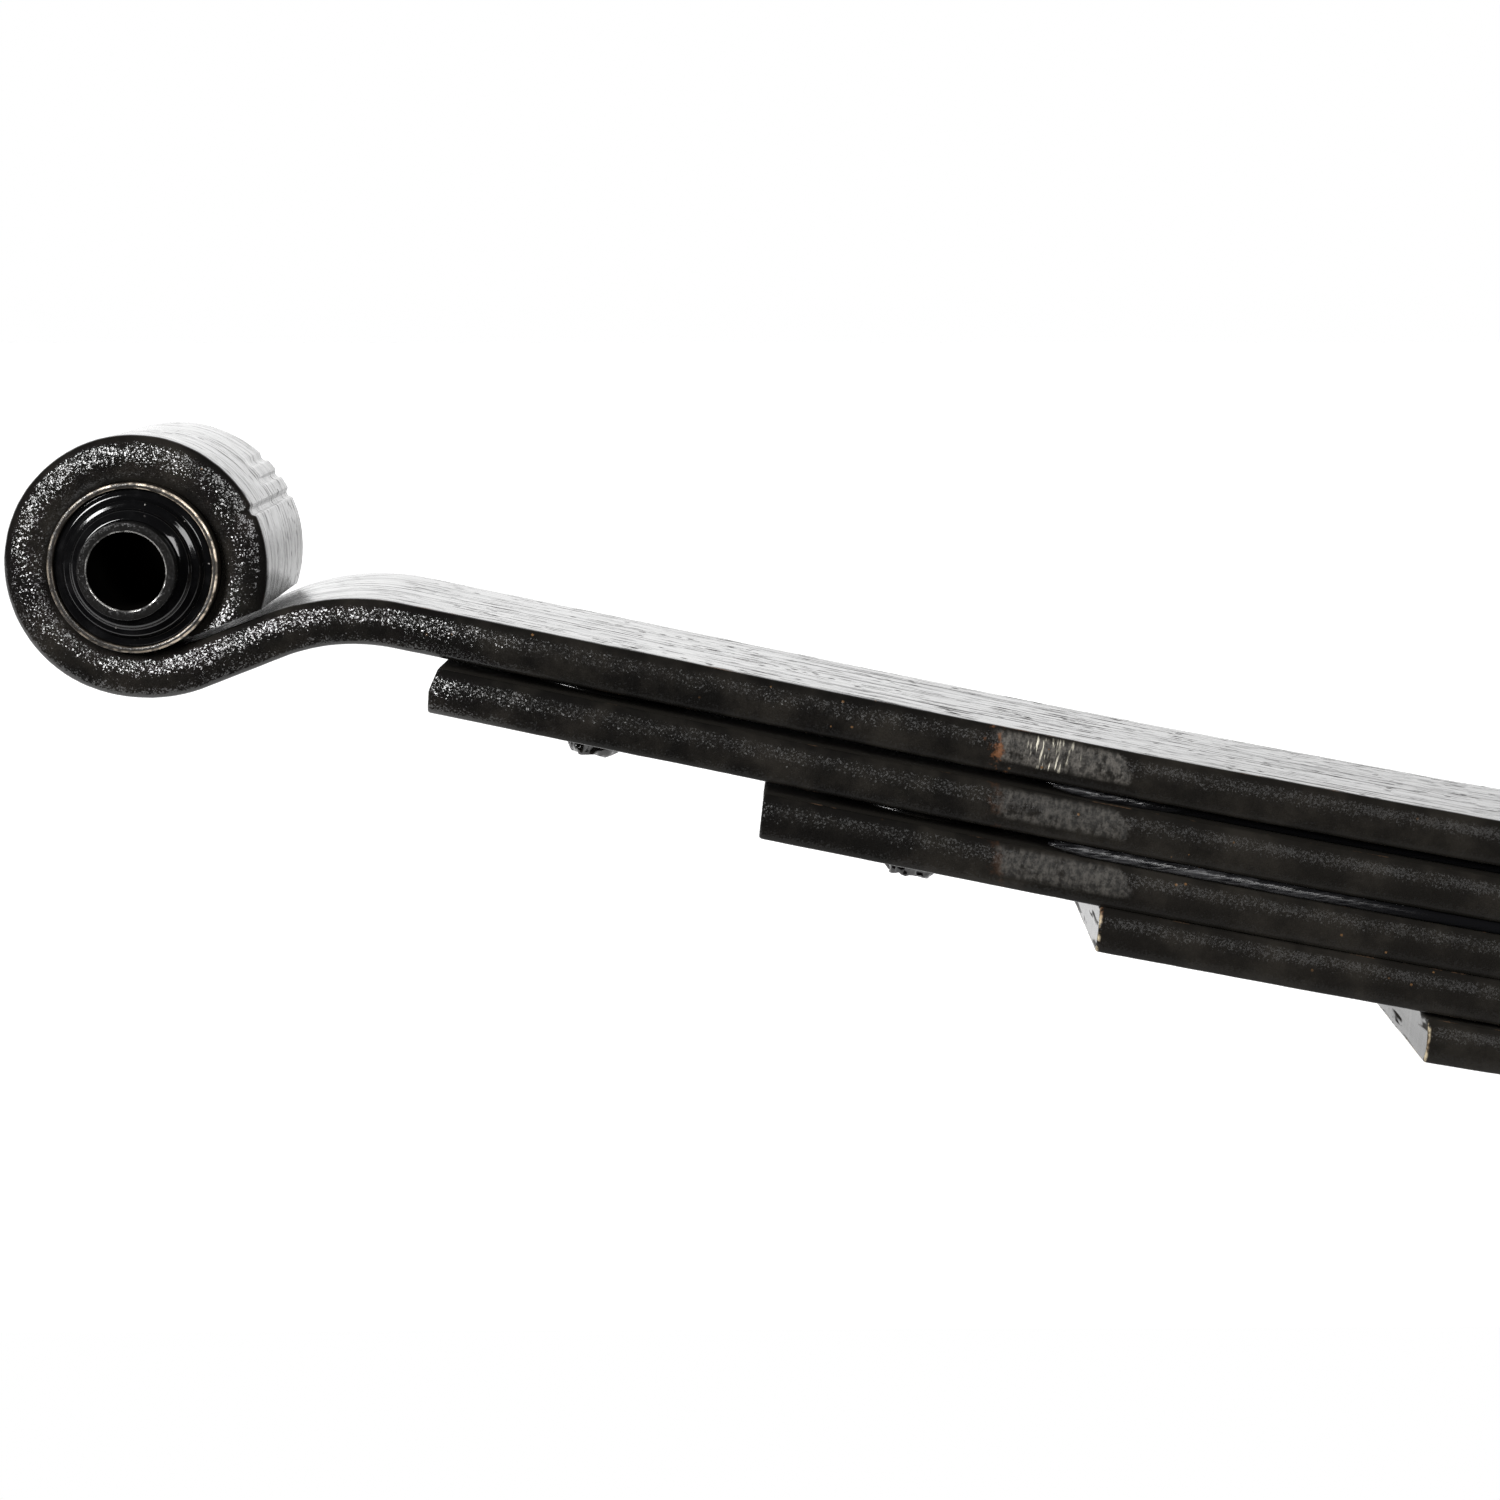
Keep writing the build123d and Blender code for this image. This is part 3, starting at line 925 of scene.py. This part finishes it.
    def facets(self, rest, size, tilt, normal):
        """The normal, turned at random by up to tilt / 2 in each cell of this size, to glint."""
        made = self.node("ShaderNodeTexVoronoi")
        self.feed(made.inputs["Vector"], rest)
        made.inputs["Scale"].default_value = 1 / size
        turn = self.vector("SUBTRACT", made.outputs["Color"], (0.5, 0.5, 0.5))
        tilted = self.vector("ADD", normal, self.vector("SCALE", turn, tilt))
        return self.vector("NORMALIZE", tilted)

    def surface(self, **values):
        shader = self.node("ShaderNodeBsdfPrincipled")
        for key, value in values.items():
            self.feed(shader.inputs[key.replace("_", " ")], value)
        self.feed(self.node("ShaderNodeOutputMaterial").inputs[0], shader.outputs[0])
        return self.owner


black = (0.0042, 0.0039, 0.0036)
dust = (0.014, 0.0125, 0.0105)
rust = (0.13, 0.052, 0.020)
cream = (0.52, 0.49, 0.40)
worn_grey = (0.038, 0.035, 0.031)
mark_grey = (0.022, 0.020, 0.018)
edge_brown = (0.11, 0.062, 0.034)
tip_cream = (0.36, 0.30, 0.20)
speck_brown = (0.10, 0.055, 0.025)
wear_from, wear_to = 0.3985, 0.4335  # where a clamp has worn the leaves' sides, from the centre
wear_rounding = 110.0  # how the end of the worn patch curves back, per metre


def leaf_paint():
    g = Graph(bpy.data.materials.new("leaf_paint"))
    along = g.node("ShaderNodeUVMap", uv_map="along").outputs[0]
    rest = g.attribute("rest")
    rim = g.attribute("rim", "Fac")
    first = g.maths("LESS_THAN", g.attribute("leaf", "Fac"), 1.5)
    upper_leaf = g.maths("LESS_THAN", g.attribute("leaf", "Fac"), 3.5)
    girth = g.split(along)[1]
    from_centre = g.maths("ABSOLUTE", g.split(rest)[0])
    from_eye = g.from_eye(rest)

    # distance from the middle of the nearer rolled side, and 1 on the flats
    quarter = girths(leaf_section)
    corner = quarter[edge_steps + corner_steps] * MM
    half_girth = quarter[len(leaf_section) // 2] * MM
    folded = g.maths("PINGPONG", girth, half_girth)
    inner = g.maths("MINIMUM", folded, g.maths("SUBTRACT", half_girth, folded))
    flat = g.ramp(inner, corner - 0.0007, corner + 0.0003)
    side = g.less(flat)
    covered = g.times(flat, g.less(first), g.maths("LESS_THAN", girth, half_girth))

    # wear: a clamp's mark on the sides
    ragged = g.times(g.maths("SUBTRACT", g.noise(rest, 330.0, 4.0, 0.7), 0.5), 0.0085)
    away = g.plus(from_centre, ragged)
    lower = g.maths("GREATER_THAN", girth, half_girth)
    brushed = g.streaks(along, (760.0, 210.0, 1.0), 3.0, 0.65)
    blotch = g.noise(rest, 210.0, 4.0, 0.65)
    worn_from = g.blend(upper_leaf, wear_to - 0.006, wear_from)
    worn_from = g.plus(worn_from, g.times(inner, inner, wear_rounding))
    worn = g.times(
        g.ramp(away, g.maths("SUBTRACT", worn_from, 0.0012), g.plus(worn_from, 0.0012)),
        g.ramp(away, wear_to - 0.002, wear_to + 0.002, 1.0, 0.0),
        g.ramp(inner, corner - 0.0008, corner - 0.0030),
        g.less(g.times(lower, g.ramp(inner, 0.0016, 0.0034))),
        g.ramp(g.plus(g.times(brushed, 0.3), g.times(blotch, 0.7)), 0.38, 0.51, 0.20, 1.0),
    )
    strokes = g.streaks(along, (1100.0, 130.0, 1.0), 2.0, 0.6, offset=(3, 7, 0))
    scraped = g.times(
        worn,
        first,
        g.band(from_centre, wear_from + 0.014, wear_from + 0.027, 0.002),
        g.ramp(strokes, 0.55, 0.62),
        g.ramp(g.noise(rest, 90.0), 0.46, 0.54),
    )
    rusty_end = g.times(
        g.band(away, wear_to - 0.001, wear_to + 0.0022, 0.001),
        side,
        g.ramp(g.noise(rest, 260.0, 3.0, 0.65), 0.47, 0.60),
        g.blend(first, 0.10, 0.9),
    )

    # streaks, pits and scratches of the flats
    streak = g.streaks(along, (11.0, 480.0, 1.0), 3.0, 0.65)
    hair = g.streaks(along, (55.0, 650.0, 1.0))
    cluster = g.streaks(along, (9.0, 38.0, 1.0))
    broken = g.streaks(along, (150.0, 600.0, 1.0), 2.0, 0.6)
    scratch = g.times(
        g.ramp(hair, 0.56, 0.61),
        g.ramp(broken, 0.45, 0.52),
        g.ramp(cluster, 0.40, 0.58, 0.6, 1.0),
    )
    long_line = g.streaks(along, (8.0, 560.0, 1.0), offset=(9, 4, 0))
    grooves = g.times(g.ramp(long_line, 0.59, 0.65), 0.55)
    place_of = g.stretch(along, (190.0, 260.0, 1.0))
    pits = g.dots(place_of, 1.0, 0.26, 0.12, g.noise(place_of, 0.35), 0.50, 0.60)
    place_of = g.stretch(along, (70.0, 330.0, 1.0), (2, 5, 0))
    nicks = g.dots(place_of, 1.0, 0.20, 0.12, g.noise(place_of, 0.21, 1.0), 0.48, 0.55)
    fewer_at_eye = g.ramp(from_eye, 0.05, 0.15, 0.5, 1.0)
    marks = g.times(flat, g.most(scratch, grooves, pits, nicks), fewer_at_eye)

    # thick paint over shot-peened sides, which glints from many small faces
    pebble = g.noise(rest, 1300.0, 2.0, 0.55)
    patchy = g.ramp(g.noise(rest, 75.0), 0.35, 0.62, 0.6, 1.0)
    smooth_shoulder = g.ramp(inner, corner - 0.0036, corner - 0.0014, 1.0, 0.08)
    near_eye = g.ramp(from_eye, 0.080, 0.118, 1.0, 0.0)
    far_side = g.times(side, g.ramp(from_eye, 0.16, 0.33))
    pebbled = g.times(side, smooth_shoulder, patchy)
    normal = g.bump(pebble, g.times(pebbled, g.blend(near_eye, 0.00006, 0.00018)))
    fine = g.plus(g.times(streak, 0.6), g.times(hair, 0.3), g.times(broken, 0.2))
    normal = g.bump(fine, g.times(flat, 0.00004), normal)
    normal = g.bump(g.plus(brushed, blotch), g.times(worn, 0.00012), normal)
    tilt = g.blend(near_eye, g.blend(far_side, 0.50, 0.36), 0.55)
    normal = g.facets(rest, 0.00040, g.times(pebbled, tilt), normal)

    # worn corners and tips
    edge_line = g.band(inner, corner - 0.0006, corner - 0.0001, 0.0002)
    bare_edge = g.times(edge_line, g.ramp(g.noise(rest, 90.0, 4.0, 0.7), 0.55, 0.66))
    chipped = g.ramp(g.noise(rest, 240.0, 3.0, 0.6), 0.44, 0.60)
    bare_tip = g.times(rim, g.less(upper_leaf), chipped)
    speck = g.times(side, g.dots(rest, 190.0, 0.09, 0.05, g.noise(rest, 33.0), 0.53, 0.60))

    cloud = g.noise(rest, 60.0, 4.0, 0.6)
    dusty = g.plus(g.ramp(cloud, 0.40, 0.75), g.times(far_side, 0.35))
    colour = g.mix(dusty, black, dust)
    grain = g.noise(rest, 620.0, 3.0, 0.7)
    grained = g.ramp(g.plus(g.times(brushed, 0.4), g.times(grain, 0.6)), 0.40, 0.62)
    # worn grey from deep to pale, and dimmer on the leaves below the first
    deep, pale, dim_deep, dim_pale = (
        tuple(c * k for c in worn_grey) for k in (0.45, 1.9, 0.25, 1.1)
    )
    wear_colour = g.mix(grained, g.mix(first, dim_deep, deep), g.mix(first, dim_pale, pale))
    colour = g.mix(worn, colour, wear_colour)
    colour = g.mix(scraped, colour, cream)
    colour = g.mix(g.times(rusty_end, 0.85), colour, rust)
    colour = g.mix(g.times(bare_edge, 0.7), colour, edge_brown)
    colour = g.mix(bare_tip, colour, g.mix(g.ramp(cloud, 0.38, 0.50), rust, tip_cream))
    colour = g.mix(speck, colour, speck_brown)
    colour = g.mix(g.times(marks, 0.8), colour, mark_grey)
    colour = g.mix(covered, colour, dust)
    dull = g.most(worn, rusty_end, bare_tip, bare_edge)
    gloss_flat = g.ramp(streak, 0.35, 0.75, 0.20, 0.27)
    rough = g.blend(flat, g.blend(near_eye, 0.24, 0.165), gloss_flat)
    rough = g.blend(dull, rough, 0.62)
    rough = g.blend(g.most(marks, covered), rough, 0.75)
    side_shine = g.blend(near_eye, g.blend(far_side, 0.070, 0.045), 0.40)
    shine = g.blend(side, 0.5, side_shine)
    shine = g.blend(marks, g.blend(dull, shine, 0.2), 0.0)
    shine = g.blend(covered, shine, 0.04)
    return g.surface(Base_Color=colour, Roughness=rough, Normal=normal, Specular_IOR_Level=shine)


def gloss_black(name, rough=0.16, pebbles=900.0, depth=0.00016):
    """Thick black paint with dust in its hollows."""
    g = Graph(bpy.data.materials.new(name))
    rest = g.attribute("rest")
    cloud = g.noise(rest, 90.0, 3.0, 0.6)
    fine = g.times(g.noise(rest, pebbles * 2.6, 1.0), 0.3)
    height = g.plus(g.noise(rest, pebbles, 2.0, 0.6), fine)
    chips = g.dots(rest, 130.0, 0.13, 0.08, cloud, 0.55, 0.62)
    colour = g.mix(g.ramp(cloud, 0.42, 0.75), black, dust)
    colour = g.mix(chips, colour, rust)
    roughness = g.blend(chips, g.ramp(cloud, 0.3, 0.7, rough * 0.8, rough * 1.4), 0.6)
    return g.surface(
        Base_Color=colour,
        Roughness=roughness,
        Normal=g.bump(height, depth),
    )


def bush_steel():
    """The shell: thin black paint, worn to a brown metal rim at its edges; more of the rim is
    painted bare towards the middle of the spring and at the top, as painted highlight.
    """
    g = Graph(bpy.data.materials.new("bush_steel"))
    rest = g.attribute("rest")
    radius = g.from_eye(rest)
    x, y, z = g.split(rest)
    half = shell_length / 2
    end = g.ramp(g.maths("ABSOLUTE", y), (half - 0.8) * MM, (half - 0.35) * MM)
    wobble = g.times(g.maths("SUBTRACT", g.noise(rest, 500.0, 3.0, 0.6), 0.5), 0.0003)
    spot = g.plus(radius, wobble)
    outer = g.ramp(spot, (bush_radius - 0.62) * MM, (bush_radius - 0.44) * MM)
    inner = g.times(g.ramp(spot, (shell_bore + 0.34) * MM, (shell_bore + 0.20) * MM), 0.6)
    broken = g.ramp(g.noise(rest, 240.0, 3.0, 0.7), 0.42, 0.58, 0.06, 1.0)
    # the bare rim is painted wider towards the middle of the spring and at the top, as a painted
    # highlight
    inward = g.maths("SUBTRACT", eye_x * MM, g.maths("ABSOLUTE", x))
    upward = g.times(g.maths("SUBTRACT", z, eye_z * MM), 0.35)
    painted_bright_side = g.ramp(g.plus(inward, upward), -0.008, 0.010, 0.22, 1.0)
    # bare: the worn metal rim, with the painted highlight of one side mixed in
    bare = g.times(end, g.maths("MAXIMUM", outer, inner), broken, painted_bright_side)
    metal = g.mix(g.noise(rest, 350.0, 2.0, 0.6), (0.34, 0.25, 0.17), (0.90, 0.80, 0.66))
    paint = g.mix(g.noise(rest, 120.0), black, (0.014, 0.011, 0.008))
    normal = g.bump(g.noise(rest, 1700.0, 2.0, 0.6), 0.00010)
    return g.surface(
        Base_Color=g.mix(bare, paint, metal),
        Metallic=g.times(bare, 0.4),
        Roughness=g.blend(bare, 0.30, 0.36),
        Normal=normal,
    )


def sleeve_steel():
    """The inner tube: black, with a bright inner edge, and a bore painted darker than the paint
    as painted shade, with no shine.
    """
    g = Graph(bpy.data.materials.new("sleeve_steel"))
    rest = g.attribute("rest")
    radius = g.from_eye(rest)
    y = g.maths("ABSOLUTE", g.split(rest)[1])
    half = sleeve_length / 2
    end = g.ramp(y, (half - 0.55) * MM, (half - 0.2) * MM)
    wobble = g.times(g.maths("SUBTRACT", g.noise(rest, 600.0, 3.0, 0.6), 0.5), 0.0004)
    broken = g.ramp(g.noise(rest, 260.0, 3.0, 0.65), 0.44, 0.58, 0.06, 1.0)
    spot = g.plus(radius, wobble)
    lip_edge = g.ramp(spot, (sleeve_bore + 0.45) * MM, (sleeve_bore + 0.28) * MM)
    lip = g.times(end, lip_edge, broken)
    in_bore = g.times(
        g.ramp(radius, (sleeve_bore + 0.12) * MM, (sleeve_bore + 0.04) * MM),
        g.ramp(y, (half - 0.3) * MM, (half - 0.8) * MM),
    )
    # painted shade: the inside of the bore is painted darker than the black paint
    painted_bore_shade = g.noise(rest, 140.0, 3.0, 0.6)
    painted_bore_shade = g.mix(painted_bore_shade, (0.0008, 0.0008, 0.0008), (0.0028, 0.0025, 0.0022))
    colour = g.mix(g.noise(rest, 420.0, 3.0, 0.6), black, (0.010, 0.010, 0.010))
    colour = g.mix(lip, colour, (0.5, 0.49, 0.47))
    colour = g.mix(in_bore, colour, painted_bore_shade)
    normal = g.bump(g.noise(rest, 1900.0, 2.0, 0.6), g.blend(end, 0.00004, 0.00008))
    normal = g.facets(rest, 0.0005, g.times(end, 0.24), normal)
    return g.surface(
        Base_Color=colour,
        Metallic=g.times(lip, 0.8),
        Normal=normal,
        Roughness=g.blend(in_bore, g.blend(end, 0.16, 0.26), 1.0),
        Specular_IOR_Level=g.blend(in_bore, g.blend(end, 0.5, 0.09), 0.0),
    )


def bush_rubber():
    """Glossy moulded rubber with smears and a little dust."""
    g = Graph(bpy.data.materials.new("bush_rubber"))
    rest = g.attribute("rest")
    smear = g.noise(rest, 150.0, 4.0, 0.65)
    specks = g.dots(rest, 420.0, 0.12, 0.07, g.noise(rest, 90.0), 0.56, 0.62)
    smeared = g.ramp(smear, 0.45, 0.75)
    colour = g.mix(smeared, (0.0022, 0.0022, 0.0024), (0.0055, 0.0055, 0.0058))
    colour = g.mix(specks, colour, (0.22, 0.21, 0.2))
    normal = g.bump(g.noise(rest, 700.0), 0.000015)
    rough = g.ramp(smear, 0.35, 0.7, 0.07, 0.12)
    return g.surface(Base_Color=colour, Roughness=rough, Normal=normal, Specular_IOR_Level=0.28)


def liner_film():
    """Dark polymer strip, drawn into shiny lengthwise streaks."""
    g = Graph(bpy.data.materials.new("liner_film"))
    rest = g.attribute("rest")
    streak = g.streaks(rest, (22.0, 700.0, 1500.0), 3.0, 0.6)
    crease = g.streaks(rest, (160.0, 400.0, 600.0), 2.0, 0.6)
    # drawn smoother towards the spring's ends, the upper one only near its torn end
    upper = g.maths("LESS_THAN", g.attribute("leaf", "Fac"), 1.5)
    from_centre = g.maths("ABSOLUTE", g.split(rest)[0])
    drawn = g.ramp(from_centre, g.blend(upper, 0.315, 0.372), g.blend(upper, 0.375, 0.412))
    grey = g.times(drawn, g.ramp(streak, 0.40, 0.70))
    colour = g.mix(grey, (0.004, 0.004, 0.0045), (0.030, 0.030, 0.032))
    normal = g.bump(g.plus(streak, g.times(crease, 0.3)), 0.00032)
    rough = g.ramp(streak, 0.3, 0.7, 0.12, 0.34)
    return g.surface(
        Base_Color=colour, Roughness=rough, Normal=normal, Specular_IOR_Level=g.times(drawn, 0.42)
    )


materials = {
    "leaf_paint": leaf_paint(),
    "clip_paint": gloss_black("clip_paint"),
    "fastener_steel": gloss_black("fastener_steel", rough=0.2, pebbles=1300.0, depth=0.00007),
    "bush_steel": bush_steel(),
    "sleeve_steel": sleeve_steel(),
    "bush_rubber": bush_rubber(),
    "insert_plastic": gloss_black("insert_plastic", rough=0.15, pebbles=420.0, depth=0.00002),
    "liner_film": liner_film(),
}

# ---- the object
for end, sign in ends:
    for number in range(1, len(leaf_names) + 1):
        make_leaf(number, end, sign)
    for name in liner_widths:
        make_liner(name, end, sign)
    for number in (2, 3):
        make_insert(number, end, sign)
    make_bush(end, sign)
    make_clip(end, sign)
make_centre_bolt()

# ---- camera
front_eye = Vector(mounts["front_eye_bore"]["pos_m"])
camera_from_eye = Vector((0.1507, -0.848, 0.0747))
camera_pitch, camera_yaw, focal_length = 8.65, -0.71, 74.5
camera_data = bpy.data.cameras.new("camera")
camera_data.sensor_width = 36.0
camera_data.lens = focal_length
camera_data.clip_start = 0.01
camera = bpy.data.objects.new("camera", camera_data)
camera.location = front_eye + camera_from_eye
camera.rotation_euler = (radians(90 - camera_pitch), 0, radians(camera_yaw))
bpy.context.scene.collection.objects.link(camera)
bpy.context.scene.camera = camera

# ---- floor, light and surroundings
far = 12000.0
floor_front = -90.0
floor_z = cad_box[0][Z] / MM
corners = [(-far, floor_front), (far, floor_front), (far, far), (-far, far)]
floor = new_piece("floor", [(x, y, floor_z) for x, y in corners], [(0, 1, 2, 3)])
g = Graph(bpy.data.materials.new("floor"))
mottle = g.noise(g.node("ShaderNodeTexCoord").outputs["Object"], 3.0, 3.0, 0.5)
floor.data.materials.append(
    g.surface(
        Base_Color=g.mix(mottle, (0.84, 0.84, 0.84), (0.87, 0.87, 0.87)),
        Roughness=0.8,
        Emission_Color=(1, 1, 1, 1),
        Emission_Strength=0.6,
    )
)


def area_light(name, offset, side, power):
    """A square soft light beside the front eye, turned towards it."""
    data = bpy.data.lights.new(name, "AREA")
    data.shape = "SQUARE"
    data.size = side
    data.energy = power
    lamp = bpy.data.objects.new(name, data)
    lamp.location = front_eye + Vector(offset)
    lamp.rotation_euler = (-Vector(offset)).to_track_quat("-Z", "Y").to_euler()
    bpy.context.scene.collection.objects.link(lamp)


area_light("key", (-0.61, -1.08, 0.49), 0.46, 34.0)
area_light("side", (0.93, -1.44, 0.56), 0.60, 18.0)

# The studio: a bright backdrop behind the object and a dark room in front of it
world = bpy.data.worlds.new("studio")
bpy.context.scene.world = world
g = Graph(world)
direction = g.split(g.node("ShaderNodeTexCoord").outputs["Generated"])
backdrop = g.ramp(direction[1], 0.12, 0.62, 0.010, 2.55)
falls_off = g.ramp(direction[0], -0.1, 0.45, 1.0, 0.70)
studio = g.node("ShaderNodeBackground")
g.feed(studio.inputs["Strength"], g.times(backdrop, falls_off))
plain = g.node("ShaderNodeBackground")
g.feed(plain.inputs["Strength"], 1.0)
g.feed(plain.inputs["Color"], (1, 1, 1, 1))
mixer = g.node("ShaderNodeMixShader")
g.feed(mixer.inputs[0], g.node("ShaderNodeLightPath").outputs["Is Camera Ray"])
g.feed(mixer.inputs[1], studio.outputs[0])
g.feed(mixer.inputs[2], plain.outputs[0])
g.feed(g.node("ShaderNodeOutputWorld").inputs[0], mixer.outputs[0])

bpy.context.scene.view_settings.view_transform = "Standard"
